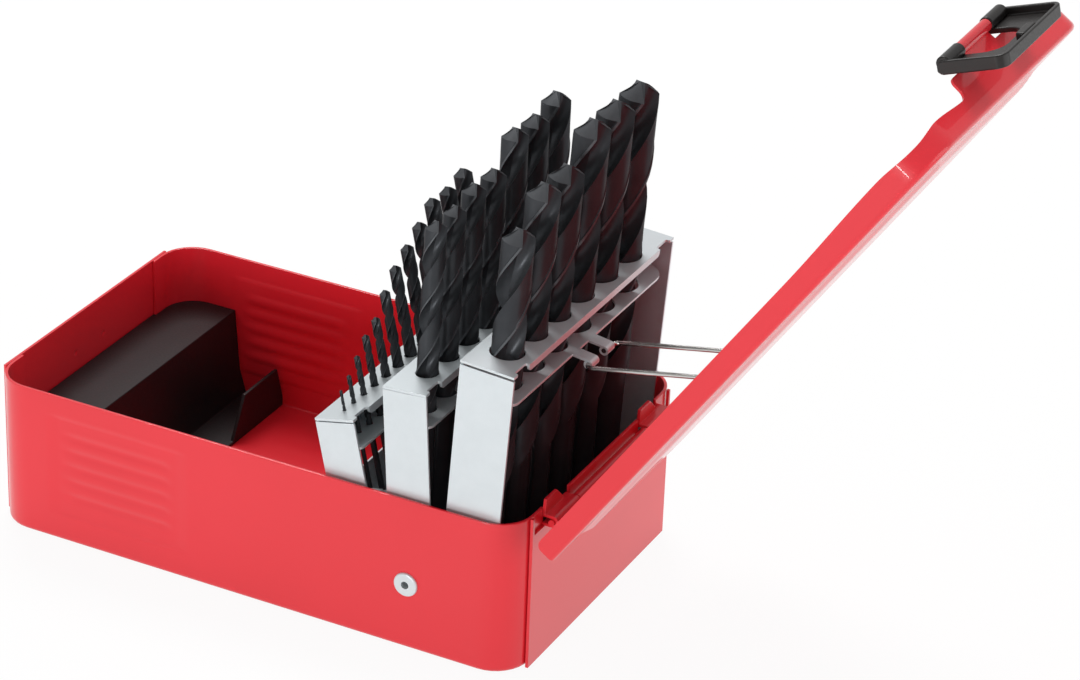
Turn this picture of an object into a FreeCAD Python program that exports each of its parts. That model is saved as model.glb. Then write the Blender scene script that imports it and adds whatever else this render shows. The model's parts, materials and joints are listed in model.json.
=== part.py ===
import FreeCAD, Part
import math
import os

from FreeCAD import Vector

# Hinged sheet-steel case for a set of twist drills, shown open.
# Millimetres. The origin is the middle of the tray's underside, +Z is up,
# +X runs along the case to the hinge and the front of the case faces -Y.

os.makedirs("parts", exist_ok=True)

# Tray, folded from painted sheet
case_length = 190.0
case_width = 112.8
tray_height = 52.4
tray_sheet = 1.0
corner_radius = 12.0
floor_bend_radius = 1.6
wrap_length = 17.7
end_plate_inset = 9.0

# Pressed grip panel on each long wall, with its grooves
grip_start = 24.0
grip_length = 47.3
grip_bottom = 10.0
grip_height = 35.0
grip_corner_radius = 5.0
grip_depth = 0.4
groove_count = 5
groove_pitch = 5.4
groove_radius = 2.6
groove_depth = 0.6
groove_margin = 6.0

# Hinge between the tray's end plate and the lid
hinge_outset = 2.4
hinge_drop = 4.0
hinge_pin_radius = 1.0
hinge_running_gap = 0.05
hinge_seat_gap = 0.02
ear_inset = 17.0
ear_pitch = 64.3
ear_width = 15.3
ear_top_width = 7.1
ear_lean = 0.4
ear_rise = 2.9
ear_slope_drop = 4.8
ear_slot = 0.7
plate_notch_drop = 5.8
plate_sliver = 1.2
pin_end_play = 0.8

# Lid, a shallow pressed tray
lid_sheet = 0.8
lid_gap = 0.35
lid_overhang = 3.4
lid_setback = 3.8
lid_rise = 8.6
lid_corner_radius = 12.8
lid_bend_radius = 1.7
lid_flange_depth = 7.0
lid_open_angle = 124.5
field_side_margin = 17.0
field_end_margin = 11.0
field_rise = 1.3
field_slope = 1.3
knuckle_gap = 0.6
leaf_rise = 3.6

# Tab at the lid's free end, rolled into the barrel that carries the clasp
tab_half_width = 23.4
tab_depth = 13.5
tab_corner_radius = 2.0
barrel_half_width = 10.0
barrel_drop = 17.9
clasp_pin_radius = 1.0
clasp_running_gap = 0.06

# Moulded clasp
clasp_open_angle = 131.5
clasp_length = 18.8
clasp_head = 1.5
clasp_root_half_width = 25.6
clasp_end_half_width = 20.0
clasp_back = 3.0
clasp_rim_height = 3.9
clasp_plate = 1.5
clasp_wall = 1.5
clasp_beam_radius = 2.2
clasp_side_gap = 0.3
clasp_window_half_width = 9.4
clasp_window_length = 9.5
clasp_corner_radius = 3.0
clasp_hook_half_width = 12.0
clasp_hook_height = 2.6
clasp_hook_reach = 4.2

# Catch strip welded to the tray under the clasp
catch_half_width = 14.0
catch_sheet = 1.0
catch_lip = 3.2
catch_height = 17.5
catch_gap = 0.3
catch_corner_radius = 2.0
weld_half_spacing = 8.2
weld_height = 38.9
weld_radius = 2.4
weld_depth = 0.3

# Moulded guard that stops the drill tips
guard_sheet = 1.2
guard_gap = 0.3
guard_deck_length = 23.4
guard_deck_height = 32.5
guard_face_foot = 25.6
guard_face_foot_height = 9.0
guard_floor_start = 27.6
guard_floor_length = 42.2
guard_wing_inner = 22.2
guard_wing_slope = 8.5
guard_wing_height = 16.4
guard_wing_outer_drop = 3.6
guard_wing_outer_height = 4.5

# Racks, folded from zinc-plated sheet
rack_sheet = 0.8
rack_wall_gap = 1.2
rack_leg_gap = 0.3
small_stack_gap = 1.0
large_stack_gap = 0.4
rack_pivot_from_end = 37.9
rack_pivot_height = 23.0
mid_base_drop = 12.0
mid_lean = -3.3
small_turn = -9.06
large_turn = 6.95
small_pivot_inset = 4.0
large_pivot_inset = 3.5
small_pivot_drop = 11.4
large_pivot_drop = 14.3
small_base_drop = 10.5
large_base_drop = 12.0
ear_boss_radius = 2.8
lip_height = 1.6
relief_depth = 1.4
relief_start = 2.0
relief_length = 7.0
weld_flap_width = 7.0
panel_end_gap = 3.0
toe_floor_gap = 0.4
side_rivet_seat_gap = 0.15
hole_clearance = 0.35

# Each rack: width, leg height, gap under the top plate, shelf drop, side panel height
small_width = 13.6
small_leg_height = 60.4
small_top_gap = 0.4
small_shelf_drop = 8.7
small_panel_height = 36.4
mid_width = 14.8
mid_setoff = 0.55
mid_leg_height = 76.3
mid_top_gap = 0.1
mid_shelf_drop = 10.8
mid_panel_height = 40.0
large_width = 18.0
large_leg_height = 90.3
large_top_gap = 0.7
large_shelf_drop = 9.0
large_panel_height = 40.0

# First and last hole of each rack, as shares of the tray's width from its front
small_row_shares = (0.0798, 0.8746)
mid_row_shares = (0.1374, 0.8422)
large_row_shares = (0.1348, 0.8063)

# Folded stairs in the small and middle racks: the height of each drill's step over the seat
stair_sheet = 0.8
stair_side_gap = 0.3
stair_toe_gap = 2.4
small_step_heights = (34.3, 30.8, 25.5, 21.5, 20.2, 17.0, 16.8, 15.2, 13.0, 10.2, 10.0, 4.0)
mid_step_heights = (17.5, 17.5, 11.5, 11.0, 11.0, 10.0, 4.0)

# The middle rack's drills stand loose: the feet lie against the side panel, the tops lean back
mid_hole_setoff = 0.5
mid_lean_back = 4.0
foot_side_gap = 0.1
foot_gap = 0.05

# Rivets
rivet_head_radius = 4.0
rivet_head_height = 0.9
rivet_dome_share = 0.14
rivet_shank_radius = 2.6
rivet_bore_radius = 1.3
rivet_roll_radius = 3.6
rivet_roll_height = 0.7
rivet_shoulder_radius = 4.0
rivet_running_gap = 0.05
side_rivet_radius = 1.5
side_rivet_head_radius = 2.5
side_rivet_head_height = 0.8

# Wire link that lifts the racks with the lid, its clips and its strap
wire_radius = 0.75
wire_bend_radius = 2.4
wire_front_leg = -16.0
wire_back_leg = 3.0
wire_hook_length = 6.6
clip_reach = 14.4
clip_height = 79.3
clip_sheet = 0.7
clip_running_gap = 0.08
clip_width = 4.6
clip_side_gap = 1.2
link_anchor_along = 63.8
link_anchor_depth = 5.4
strap_start = 50.4
strap_end = 67.2
strap_foot = 3.5
strap_depth = 2.9
strap_width = 9.0

# Twist drills, the smallest first; each length is overall, each flute runs up to the tip
smallest_drill = 1.0
drill_step = 0.5
small_drill_count = 12
mid_drill_count = 7
drill_lengths = (
    34.0, 40.0, 49.0, 57.0, 61.0, 70.0, 75.0, 80.0, 86.0, 93.0, 93.0, 101.0,
    109.0, 109.0, 117.0, 117.0, 125.0, 125.0, 133.0,
    133.0, 142.0, 142.0, 151.0, 151.0, 151.0,
)
flute_lengths = (
    12.0, 18.0, 24.0, 30.0, 33.0, 39.0, 43.0, 47.0, 52.0, 57.0, 57.0, 63.0,
    69.0, 69.0, 75.0, 75.0, 81.0, 81.0, 87.0,
    87.0, 94.0, 94.0, 101.0, 101.0, 101.0,
)
helix_angle = 30.0
point_half_angle = 59.0
flute_step_angle = 36.0
flute_angles_and_shares = ((-28.0, 1.0), (28.0, 1.0), (62.0, 0.5), (118.0, 0.34))
shank_chamfer_share = 0.08

# One overrun serves every cut
overrun = 5.0

# Places worked out from the sizes above
half_length = case_length / 2
half_width = case_width / 2
hinge_x = half_length + hinge_outset
hinge_height = tray_height - hinge_drop
hinge_point = Vector(hinge_x, 0, hinge_height)
knuckle_outer = hinge_pin_radius + hinge_running_gap + lid_sheet
loop_inner = hinge_pin_radius + hinge_seat_gap
loop_outer = loop_inner + tray_sheet
lid_far = -half_length - lid_overhang
lid_near = hinge_x - lid_setback
lid_top = hinge_height + lid_rise
lid_half_width = half_width + lid_gap + lid_sheet
field_half_width = half_width - field_side_margin
barrel_inner = clasp_pin_radius + clasp_running_gap
barrel_outer = barrel_inner + lid_sheet
clasp_pivot = Vector(lid_far + lid_sheet - barrel_outer, 0, lid_top - barrel_drop)
rack_pivot_x = half_length - rack_pivot_from_end
leg_outer = half_width - tray_sheet - rack_wall_gap
bar_outer = leg_outer + rack_sheet
side_leg_outer = leg_outer - rack_leg_gap
Y_AXIS = Vector(0, 1, 0)


def box(x0, x1, y0, y1, z0, z1):
    return Part.makeBox(x1 - x0, y1 - y0, z1 - z0, Vector(x0, y0, z0))


def rod(radius, x, y0, y1, z):
    return Part.makeCylinder(radius, y1 - y0, Vector(x, y0, z), Y_AXIS)


def edges_along(shape, axis):
    # straight edges that run along one axis of the frame
    found = []
    for edge in shape.Edges:
        if len(edge.Vertexes) < 2:
            continue
        step = edge.Vertexes[1].Point.sub(edge.Vertexes[0].Point)
        if step.Length > 0 and abs(step.dot(axis)) > step.Length * math.cos(math.radians(1)):
            found.append(edge)
    return found


def rounded_box(x0, x1, y0, y1, z0, z1, radius, axis):
    block = box(x0, x1, y0, y1, z0, z1)
    return block.makeFillet(radius, edges_along(block, axis))


def plate_xz(points, y0, y1):
    # a flat profile of (x, z) points, as thick as the stretch from y0 to y1
    corners = [Vector(x, y0, z) for x, z in points]
    outline = Part.makePolygon(corners + corners[:1])
    return Part.Face(outline).extrude(Vector(0, y1 - y0, 0))


def plate_yz(points, x0, x1):
    corners = [Vector(x0, y, z) for y, z in points]
    outline = Part.makePolygon(corners + corners[:1])
    return Part.Face(outline).extrude(Vector(x1 - x0, 0, 0))


def turned(shape, point, degrees):
    copy = shape.copy()
    copy.rotate(point, Y_AXIS, degrees)
    return copy


def moved(shape, x, z):
    copy = shape.copy()
    copy.translate(Vector(x, 0, z))
    return copy


def mirrored(shape):
    # the same piece on the other long side of the case
    return shape.mirror(Vector(0, 0, 0), Y_AXIS)


def fused(first, *others):
    return first.fuse(list(others)).removeSplitter()


def save(name, shape):
    shape.exportStep("parts/" + name + ".step")


# Tray


def grip_grooves(radius):
    # rods whose near sides shape the grooves of the front wall
    length = grip_length - 2 * groove_margin
    start = -half_length + grip_start + groove_margin
    middle = grip_bottom + grip_height / 2
    axis_y = -half_width + grip_depth + groove_depth - groove_radius
    rods = []
    for index in range(groove_count):
        height = middle + (index - (groove_count - 1) / 2) * groove_pitch
        rods.append(Part.makeCylinder(radius, length, Vector(start, axis_y, height), Vector(1, 0, 0)))
    return rods


def grip_pad(y0, y1):
    x0 = -half_length + grip_start
    return rounded_box(x0, x0 + grip_length, y0, y1, grip_bottom, grip_bottom + grip_height,
                       grip_corner_radius, Y_AXIS)


def grip_panel_parts():
    # what the pressing adds inside the front wall, and what it takes off outside
    inner_face = -half_width + tray_sheet
    inside = box(-half_length, half_length, inner_face, 0, 0, tray_height)
    ridges = [ridge.common(inside) for ridge in grip_grooves(groove_radius + tray_sheet)]
    added = fused(grip_pad(inner_face, inner_face + grip_depth), *ridges)
    taken = fused(grip_pad(-half_width - overrun, -half_width + grip_depth), *grip_grooves(groove_radius))
    return added, taken


def make_tray_body():
    end = half_length - tray_sheet
    outer = rounded_box(-end, end, -half_width, half_width, 0, tray_height, corner_radius, Vector(0, 0, 1))
    rim = [edge for edge in outer.Edges if edge.BoundBox.ZMax < floor_bend_radius]
    outer = outer.makeFillet(floor_bend_radius, rim)
    inner_end = end - tray_sheet
    inner_side = half_width - tray_sheet
    hollow = rounded_box(-inner_end, inner_end, -inner_side, inner_side, tray_sheet,
                         tray_height + overrun, corner_radius - tray_sheet, Vector(0, 0, 1))
    body = outer.cut(hollow)
    wrap_edge = half_width - wrap_length
    for sign in (-1, 1):
        x0, x1 = sorted((sign * inner_end, sign * (end + overrun)))
        body = body.cut(box(x0, x1, -wrap_edge, wrap_edge, tray_sheet, tray_height + overrun))
    added, taken = grip_panel_parts()
    body = body.fuse([added, mirrored(added)]).cut([taken, mirrored(taken)])
    rivet_hole = rod(rivet_shank_radius, rack_pivot_x, -half_width - overrun, half_width + overrun,
                     rack_pivot_height)
    return body.cut(rivet_hole).removeSplitter()


def ear_starts():
    first = -half_width + ear_inset
    return first, first + ear_pitch


def make_hinge_end():
    edge = half_width - end_plate_inset
    inner = half_length - tray_sheet
    notch = tray_height - plate_notch_drop
    front_ear, back_ear = ear_starts()
    plate = box(inner, half_length, -edge, edge, 0, notch)
    wall = box(inner, half_length, front_ear + ear_width + ear_slot, back_ear - ear_slot, 0, tray_height)
    slivers = [box(inner, half_length, -edge, -edge + plate_sliver, 0, tray_height),
               box(inner, half_length, edge - plate_sliver, edge, 0, tray_height)]
    plate = plate.fuse([wall] + slivers)
    for start in (front_ear, back_ear):
        ear = plate_yz([
            (start, notch - tray_sheet),
            (start, tray_height),
            (start + ear_lean, tray_height + ear_rise),
            (start + ear_lean + ear_top_width, tray_height + ear_rise),
            (start + ear_width, tray_height - ear_slope_drop),
            (start + ear_width, notch - tray_sheet),
        ], inner, half_length)
        end = start + ear_width
        loop = rod(loop_outer, hinge_x, start, end, hinge_height)
        arms = box(inner, hinge_x, start, end, hinge_height - loop_outer, hinge_height + loop_outer)
        slot = box(inner - overrun, hinge_x, start - ear_slot, end + ear_slot,
                   hinge_height - loop_inner, hinge_height + loop_inner)
        bore = rod(loop_inner, hinge_x, start - ear_slot, end + ear_slot, hinge_height)
        plate = plate.fuse([ear, loop, arms]).cut([slot, bore])
    return plate.removeSplitter()


def make_latch_end():
    edge = half_width - end_plate_inset
    inner = -half_length + tray_sheet
    plate = box(-half_length, inner, -edge, edge, 0, tray_height)
    for side in (-1, 1):
        centre = Vector(inner + weld_radius - weld_depth, side * weld_half_spacing, weld_height)
        plate = plate.cut(Part.makeSphere(weld_radius, centre))
    return plate


def catch_lip_height():
    return clasp_pivot.z - clasp_length + clasp_wall + clasp_hook_height + catch_gap


def make_latch_catch():
    foot = catch_lip_height()
    strip = box(-half_length - catch_sheet, -half_length, -catch_half_width, catch_half_width,
                foot, foot + catch_height)
    lip = box(-half_length - catch_lip, -half_length, -catch_half_width, catch_half_width,
              foot, foot + catch_sheet)
    top_corners = [edge for edge in edges_along(strip, Vector(1, 0, 0)) if edge.BoundBox.ZMin > foot]
    return fused(strip.makeFillet(catch_corner_radius, top_corners), lip)


def make_tip_guard():
    left = -half_length
    deck = guard_deck_height
    floor = tray_sheet
    # the folded section, seen from the front: deck, face and floor strip
    top_line = [
        (left, deck), (left + guard_deck_length, deck),
        (left + guard_face_foot, guard_face_foot_height),
        (left + guard_floor_start, floor + guard_sheet),
        (left + guard_floor_length, floor + guard_sheet),
    ]
    low_line = [
        (left + guard_floor_length, floor),
        (left + guard_floor_start - guard_sheet, floor),
        (left + guard_face_foot - guard_sheet, guard_face_foot_height - guard_sheet),
        (left + guard_deck_length - guard_sheet, deck - guard_sheet),
        (left, deck - guard_sheet),
    ]
    section = plate_xz(top_line + low_line, -half_width, half_width)
    wing_x = left + guard_floor_length
    outer = half_width - tray_sheet - guard_gap
    wing = plate_yz([
        (guard_wing_inner, floor),
        (guard_wing_inner + guard_wing_slope, guard_wing_height),
        (outer - guard_wing_outer_drop, guard_wing_height),
        (outer, guard_wing_outer_height),
        (outer, floor),
    ], wing_x - guard_sheet, wing_x)
    shape = section.fuse([wing, mirrored(wing)])
    # it sits inside the walls, the rounded corners and the folded ends
    inner_end = half_length - tray_sheet - guard_gap
    corner_end = inner_end - tray_sheet
    corner = corner_radius - tray_sheet - guard_gap
    room = rounded_box(-corner_end, corner_end, -outer, outer, 0, tray_height, corner, Vector(0, 0, 1))
    middle = half_width - wrap_length - guard_gap
    room = room.fuse(box(-inner_end, inner_end, -middle, middle, 0, tray_height))
    grip_face = half_width - tray_sheet - grip_depth - guard_gap
    grip = box(-half_length + grip_start - guard_gap, 0, -half_width, -grip_face,
               grip_bottom - guard_gap, tray_height)
    return shape.common(room).cut([grip, mirrored(grip)]).removeSplitter()


def make_hinge_pin():
    front_ear, back_ear = ear_starts()
    pin = rod(hinge_pin_radius, hinge_x, front_ear - pin_end_play,
              back_ear + ear_width + pin_end_play, hinge_height)
    return pin


def make_pivot_rivet():
    # front one: domed head outside, shoulder, shank and the roll that closes it inside
    x, z = rack_pivot_x, rack_pivot_height
    inner_face = -half_width + tray_sheet
    bar_face = -bar_outer
    roll_face = -leg_outer + rack_sheet + rack_leg_gap
    head = rod(rivet_head_radius, x, -half_width - rivet_head_height, -half_width, z)
    rim = [edge for edge in head.Edges if edge.BoundBox.YMax < -half_width - rivet_head_height / 2]
    head = head.makeFillet(rivet_head_radius * rivet_dome_share, rim)
    shank = rod(rivet_shank_radius, x, -half_width, roll_face + rivet_roll_height, z)
    shoulder = rod(rivet_shoulder_radius, x, inner_face, bar_face - rack_leg_gap, z)
    roll = rod(rivet_roll_radius, x, roll_face, roll_face + rivet_roll_height, z)
    bore = rod(rivet_bore_radius, x, -half_width - overrun, -leg_outer + overrun, z)
    return fused(head, shank, shoulder, roll).cut(bore)


# Lid


def lid_prism(inset, depth):
    # the lid's outline drawn in by a sheet or not, down to a depth below its top
    top = lid_top - inset
    side = lid_half_width - inset
    block = box(lid_far + inset, lid_near + 2 * overrun, -side, side, lid_top - depth, top)
    far_edges = [edge for edge in edges_along(block, Vector(0, 0, 1)) if edge.BoundBox.XMax < 0]
    block = block.makeFillet(lid_corner_radius - inset, far_edges)
    brow = [edge for edge in block.Edges if edge.BoundBox.ZMin > top - lid_sheet
            and edge.BoundBox.XMin < lid_near]
    return block.makeFillet(lid_bend_radius - inset, brow)


def raised_field(inset, z0, z1):
    # the panel's pressed field: wide at z0, a slope narrower at z1, open at the hinge end
    outlines = []
    for height, margin in ((z0, 0), (z1, field_slope)):
        x0 = lid_far + field_end_margin + inset + margin
        side = field_half_width - inset - margin
        corners = [Vector(x0, -side, height), Vector(lid_near + overrun, -side, height),
                   Vector(lid_near + overrun, side, height), Vector(x0, side, height)]
        outlines.append(Part.makePolygon(corners + corners[:1]))
    return Part.makeLoft(outlines, True, True)


def make_hinge_leaf():
    front_ear, back_ear = ear_starts()
    y0 = front_ear + ear_width + knuckle_gap
    y1 = back_ear - knuckle_gap
    right = hinge_x + knuckle_outer
    crown = lid_top + field_rise
    leaf = plate_xz([
        (lid_near, crown), (right, hinge_height + leaf_rise), (right, hinge_height),
        (right - lid_sheet, hinge_height), (right - lid_sheet, hinge_height + leaf_rise - lid_sheet / 2),
        (lid_near, crown - lid_sheet - lid_sheet / 3),
    ], y0, y1)
    ring = rod(knuckle_outer, hinge_x, y0, y1, hinge_height)
    bore = rod(hinge_pin_radius + hinge_running_gap, hinge_x, y0, y1, hinge_height)
    return leaf.fuse(ring).cut(bore)


def make_lid_shell():
    depth = tab_depth
    shell = lid_prism(0, depth).cut(lid_prism(lid_sheet, depth + overrun))
    shell = shell.fuse(raised_field(0, lid_top - lid_sheet / 2, lid_top + field_rise))
    shell = shell.cut(raised_field(lid_sheet / 2, lid_top - lid_sheet - field_rise,
                                   lid_top + field_rise - lid_sheet))
    side = lid_half_width + overrun
    shell = shell.common(box(lid_far - overrun, lid_near, -side, side,
                             lid_top - depth - overrun, lid_top + overrun))
    below = box(lid_far - overrun, lid_near + overrun, -side, side,
                lid_top - depth - overrun, lid_top - lid_flange_depth)
    tab = box(lid_far - 2 * overrun, lid_far + lid_sheet, -tab_half_width, tab_half_width,
              lid_top - depth, lid_top)
    tab_corners = [edge for edge in edges_along(tab, Vector(1, 0, 0)) if edge.BoundBox.ZMax < lid_top]
    shell = shell.cut(below.cut(tab.makeFillet(tab_corner_radius, tab_corners)))
    # the strip below the tab is rolled outwards into the clasp's barrel
    strip = box(lid_far, lid_far + lid_sheet, -barrel_half_width, barrel_half_width,
                clasp_pivot.z, lid_top - depth)
    barrel = rod(barrel_outer, clasp_pivot.x, -barrel_half_width, barrel_half_width, clasp_pivot.z)
    bore = rod(barrel_inner, clasp_pivot.x, -barrel_half_width, barrel_half_width, clasp_pivot.z)
    return shell.fuse([strip, barrel]).cut(bore).fuse(make_hinge_leaf()).removeSplitter()


def make_link_strap():
    # a bridge on the lid's inner face, under which the wire's cross-bar lies and slides
    ceiling = hinge_height + lid_rise + field_rise - lid_sheet
    bridge = hinge_height + strap_depth
    y0 = (wire_front_leg + wire_back_leg - strap_width) / 2
    x_far = hinge_x - strap_end
    x_near = hinge_x - strap_start
    points = [
        (x_far - strap_foot, ceiling), (x_far - strap_foot, ceiling - lid_sheet),
        (x_far, ceiling - lid_sheet), (x_far, bridge - lid_sheet), (x_near, bridge - lid_sheet),
        (x_near, ceiling - lid_sheet), (x_near + strap_foot, ceiling - lid_sheet),
        (x_near + strap_foot, ceiling), (x_near - lid_sheet, ceiling),
        (x_near - lid_sheet, bridge), (x_far + lid_sheet, bridge), (x_far + lid_sheet, ceiling),
    ]
    return plate_xz(points, y0, y0 + strap_width)


def opened_with_lid(shape):
    return turned(shape, hinge_point, lid_open_angle)


# Clasp


def clasp_outline(inset, x0, x1):
    root = clasp_root_half_width - inset
    end = clasp_end_half_width - inset
    top = clasp_pivot.z + clasp_head - inset
    foot = clasp_pivot.z - clasp_length + inset
    block = plate_yz([(-root, top), (-end, foot), (end, foot), (root, top)], x0, x1)
    return block.makeFillet(clasp_corner_radius - inset, edges_along(block, Vector(1, 0, 0)))


def make_clasp():
    # drawn closed: it hangs from the barrel with its hollow side to the tray
    pivot = clasp_pivot
    back = pivot.x - clasp_back
    shell = clasp_outline(0, back, back + clasp_rim_height)
    shell = shell.cut(clasp_outline(clasp_wall, back + clasp_plate, back + clasp_rim_height + overrun))
    beam = rod(clasp_beam_radius, pivot.x, -clasp_root_half_width + clasp_wall,
               clasp_root_half_width - clasp_wall, pivot.z)
    hook_foot = pivot.z - clasp_length + clasp_wall
    hook = box(back + clasp_plate, back + clasp_plate + clasp_hook_reach, -clasp_hook_half_width,
               clasp_hook_half_width, hook_foot - clasp_wall, hook_foot + clasp_hook_height)
    shell = shell.fuse([beam, hook])
    side = barrel_half_width + clasp_side_gap
    window = rounded_box(back - overrun, pivot.x + overrun, -side, side,
                         pivot.z - clasp_window_length, pivot.z + 2 * overrun,
                         clasp_corner_radius, Vector(1, 0, 0))
    bore = rod(clasp_pin_radius, pivot.x, -clasp_root_half_width + clasp_wall,
               clasp_root_half_width - clasp_wall, pivot.z)
    return shell.cut([window, bore]).removeSplitter()


def make_clasp_pin():
    return rod(clasp_pin_radius, clasp_pivot.x, -clasp_root_half_width + clasp_wall,
               clasp_root_half_width - clasp_wall, clasp_pivot.z)


def opened_clasp(shape):
    return opened_with_lid(turned(shape, clasp_pivot, clasp_open_angle))


# Racks: each is drawn upright about its own centre line, with the drills' seat at z = 0


class Rack:
    def __init__(self, name, width, leg_height, top_gap, shelf_drop, panel_height, row_shares, drills,
                 step_heights=None):
        self.name = name
        self.width = width
        self.leg_height = leg_height
        self.top = leg_height + top_gap
        self.shelf = leg_height - shelf_drop
        self.panel_height = panel_height
        self.drills = list(drills)
        self.leg_face = leg_outer if name == "mid" else side_leg_outer
        # equal lands between the holes
        first, last = (case_width * share - half_width for share in row_shares)
        steps = [(drill_diameter(a) + drill_diameter(b)) / 2 for a, b in zip(self.drills, self.drills[1:])]
        land = (last - first - sum(steps)) / len(steps)
        self.holes = [first]
        for step in steps:
            self.holes.append(self.holes[-1] + step + land)
        self.step_heights = step_heights or [0] * len(self.drills)

    def axis(self, place):
        # the foot of a drill and the way it stands, through its hole in the top plate
        floor = self.step_heights[place] + foot_gap
        if self.name != "mid":
            return Vector(0, self.holes[place], floor), Vector(0, 0, 1)
        radius = drill_diameter(self.drills[place]) / 2
        rise = self.top - floor
        foot_x = -self.width / 2 + rack_sheet + foot_side_gap + radius
        across = (mid_hole_setoff - foot_x) / rise
        back = math.tan(math.radians(mid_lean_back))
        way = Vector(across, back, 1).normalize()
        lift = radius * math.sqrt(way.x ** 2 + way.y ** 2)
        return Vector(foot_x + across * lift, self.holes[place] - back * (rise - lift), floor + lift), way


def drill_diameter(index):
    return smallest_drill + index * drill_step


def drill_name(index):
    # named after the real size, in half millimetres from one
    return "drill_%02d_%d" % ((index + 2) // 2, index % 2 * 5)


small_end = small_drill_count
mid_end = small_drill_count + mid_drill_count
small_rack = Rack("small", small_width, small_leg_height, small_top_gap, small_shelf_drop,
                  small_panel_height, small_row_shares, range(small_end), small_step_heights)
mid_rack = Rack("mid", mid_width, mid_leg_height, mid_top_gap, mid_shelf_drop,
                mid_panel_height, mid_row_shares, range(small_end, mid_end), mid_step_heights)
large_rack = Rack("large", large_width, large_leg_height, large_top_gap, large_shelf_drop,
                  large_panel_height, large_row_shares, range(mid_end, len(drill_lengths)))

# Side pivots, across and above the middle rack's own seat line
small_face = mid_setoff - mid_width / 2 - small_stack_gap
large_face = mid_setoff + mid_width / 2 + large_stack_gap
small_pivot = Vector(small_face - small_pivot_inset, 0, mid_base_drop - small_pivot_drop)
large_pivot = Vector(large_face + large_pivot_inset, 0, mid_base_drop - large_pivot_drop)


def hung_on_rivets(shape):
    upright = moved(shape, rack_pivot_x, rack_pivot_height - mid_base_drop)
    return turned(upright, Vector(rack_pivot_x, 0, rack_pivot_height), mid_lean)


def placed_mid(shape):
    return hung_on_rivets(moved(shape, mid_setoff, 0))


def placed_small(shape):
    beside = moved(shape, small_face - small_width / 2, mid_base_drop - small_base_drop)
    return hung_on_rivets(turned(beside, small_pivot, small_turn))


def placed_large(shape):
    beside = moved(shape, large_face + large_width / 2, mid_base_drop - large_base_drop)
    return hung_on_rivets(turned(beside, large_pivot, large_turn))


def pivot_in_small():
    return (small_width / 2 - small_pivot_inset, small_base_drop - small_pivot_drop)


def pivot_in_large():
    return (large_pivot_inset - large_width / 2, large_base_drop - large_pivot_drop)


def toe_room(inset):
    # the small rack's foot is rounded about the tray's rivet, and so swings clear of the floor
    px, pz = pivot_in_small()
    centre_x = px - small_pivot.x
    centre_z = pz + mid_base_drop - small_pivot.z
    radius = rack_pivot_height - tray_sheet - toe_floor_gap - inset
    disc = rod(radius, centre_x, -half_width, half_width, centre_z)
    above = box(-small_width, small_width, -half_width, half_width, centre_z, centre_z + case_length)
    return disc.fuse(above)


def toe_bend(panel_end):
    # the bend between the small rack's seat and its side panel
    px, pz = pivot_in_small()
    centre_z = pz + mid_base_drop - small_pivot.z
    half = small_width / 2
    corner = box(-half, 0, -panel_end, panel_end, -rack_sheet, centre_z)
    return corner.common(toe_room(0)).cut(toe_room(rack_sheet))


def make_rack_frame(rack, pivot, bore_radius):
    # two legs and the seat, one folded strip, with a low side panel
    half = rack.width / 2
    face = rack.leg_face
    leg = box(-half, half, -face, -face + rack_sheet, -rack_sheet, rack.leg_height)
    px, pz = pivot
    leg = leg.fuse(rod(ear_boss_radius, px, -face, -face + rack_sheet, pz))
    leg = leg.cut(rod(bore_radius, px, -face - overrun, -face + overrun, pz))
    seat = box(-half, half, -face + rack_sheet, face - rack_sheet, -rack_sheet, 0)
    panel_end = face - rack_sheet - panel_end_gap
    panel = box(-half, -half + rack_sheet, -panel_end, panel_end, -rack_sheet, rack.panel_height)
    frame = fused(leg, mirrored(leg), seat, panel)
    if rack is small_rack:
        frame = frame.common(toe_room(0)).fuse(toe_bend(panel_end))
    if rack is not mid_rack:
        # room for the side rivets' heads at the ends of the seat
        depth = side_rivet_head_height + rack_leg_gap + side_rivet_seat_gap
        head = rod(side_rivet_head_radius + side_rivet_seat_gap, px, -face + rack_sheet,
                   -face + rack_sheet + depth, pz)
        frame = frame.cut([head, mirrored(head)])
    return frame.removeSplitter()


def make_rack_holder(rack):
    # a channel open to the hinge side: punched top plate, back web, punched shelf
    half = rack.width / 2
    top = rack.top
    inner = rack.leg_face - rack_sheet
    plate = box(-half, half, -rack.leg_face, rack.leg_face, top, top + rack_sheet)
    lip = box(half - rack_sheet, half, -inner + relief_start + relief_length,
              inner - relief_start - relief_length, top - lip_height, top)
    web = box(-half, -half + rack_sheet, -inner, inner, rack.shelf - rack_sheet, top + rack_sheet)
    shelf = rounded_box(-half, half, -inner, inner, rack.shelf - rack_sheet, rack.shelf,
                        half / 2, Vector(0, 0, 1))
    shelf = shelf.fuse(box(-half, 0, -inner, inner, rack.shelf - rack_sheet, rack.shelf))
    flap = box(-half + rack_sheet, -half + weld_flap_width, -inner, -inner + rack_sheet,
               rack.shelf, top - lip_height)
    relief = plate_xz([(half, top), (half + overrun, top), (half + overrun, top + 2 * rack_sheet),
                       (half, top + 2 * rack_sheet)], 0, relief_length)
    reliefs = []
    for side in (-1, 1):
        cutter = relief.copy()
        y0 = side * (inner - relief_start - relief_length / 2) - relief_length / 2
        cutter.translate(Vector(-relief_depth, y0, -rack_sheet))
        reliefs.append(cutter)
    holder = plate.cut(reliefs).fuse([lip, web, shelf, flap, mirrored(flap)])
    holes = []
    for place, index in enumerate(rack.drills):
        radius = (drill_diameter(index) + hole_clearance) / 2
        foot, way = rack.axis(place)
        below = foot + way * ((rack.shelf - foot.z) / way.z - overrun)
        holes.append(Part.makeCylinder(radius, top - rack.shelf + 3 * overrun, below, way))
    return holder.cut(holes).removeSplitter()


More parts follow.
